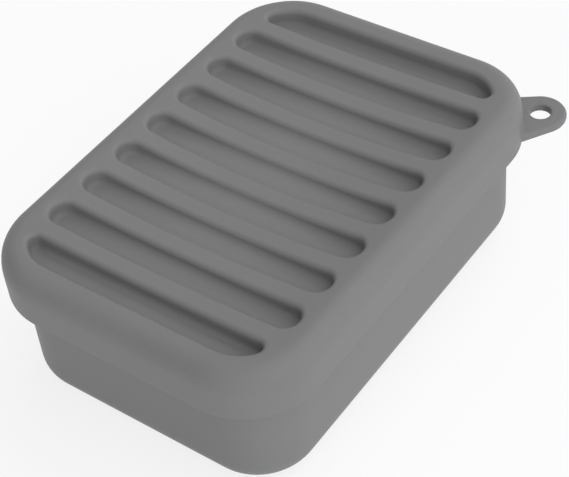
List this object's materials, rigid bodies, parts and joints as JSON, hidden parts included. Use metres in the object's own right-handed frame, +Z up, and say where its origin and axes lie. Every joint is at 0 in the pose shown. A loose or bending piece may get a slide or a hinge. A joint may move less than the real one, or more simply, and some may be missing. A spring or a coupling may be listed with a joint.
{
  "type": "travel soap box",
  "caption": "Moulded silicone soap box with a lift-off lid that overhangs the tub, drain grooves across its dished top and a flat hanging tab with a hole at one corner.",
  "frame": {"origin": "middle of the tub's flat foot, on the surface that the box stands on", "axes": "+Z up, out of the tub's mouth and the way the lid lifts; +X along the long side, towards the end with the hanging tab; the tab is at the corner on +X and -Y; the grooves run along Y"},
  "size_m": [0.1272, 0.0908, 0.0428],
  "materials": {
    "silicone": "matte mid grey silicone, fine satin texture from the mould"
  },
  "bodies": {
    "tub": {"tub": "silicone", "drain_ribs": "silicone"},
    "lid": {"lid": "silicone", "sealing_lip": "silicone", "hang_tab": "silicone"}
  },
  "joints": [
    {"name": "lid_lift", "type": "slide", "parent": "tub", "child": "lid", "axis": [0, 0, 1], "range_m": [0, 0.06]}
  ]
}
